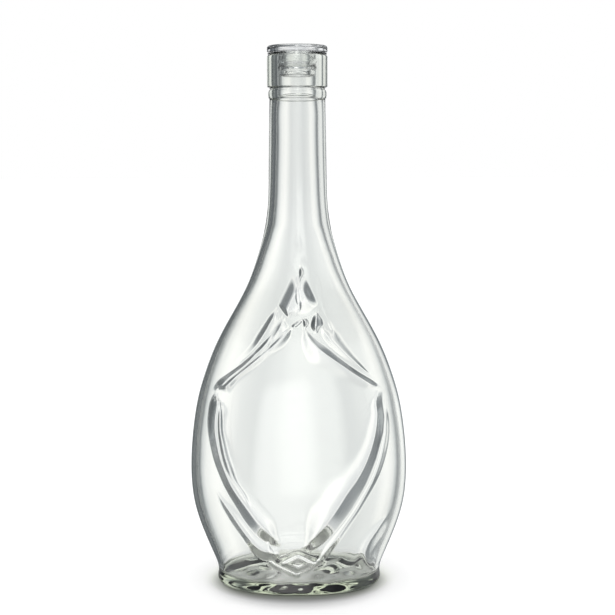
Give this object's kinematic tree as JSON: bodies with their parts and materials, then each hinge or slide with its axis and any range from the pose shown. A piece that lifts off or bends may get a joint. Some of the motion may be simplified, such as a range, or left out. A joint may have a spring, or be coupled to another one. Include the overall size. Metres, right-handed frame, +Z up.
{
  "type": "preserving bottle",
  "caption": "Clear oval glass bottle on a waisted foot, with a tall round neck, banded mouth, draped ribbon relief on the front, a plain back, and a hollow lift-out stopper with a soft seal.",
  "frame": {"origin": "middle of the foot, on the surface that the bottle stands on", "axes": "+Z up the neck; X across the wide faces; the relief faces -Y (front)"},
  "size_m": [0.1052, 0.0656, 0.258],
  "materials": {
    "bottle_glass": "clear moulded flint glass, faintly grey-green in its thick foot",
    "stopper_glass": "clear pressed glass",
    "seal": "clear, slightly milky soft elastomer"
  },
  "bodies": {
    "glass": {"bottle": "bottle_glass"},
    "closure": {"stopper": "stopper_glass", "seal_ring": "seal"}
  },
  "joints": [
    {"name": "stopper_lift", "type": "slide", "parent": "glass", "child": "closure", "axis": [0, 0, 1], "range_m": [0, 0.045]}
  ]
}
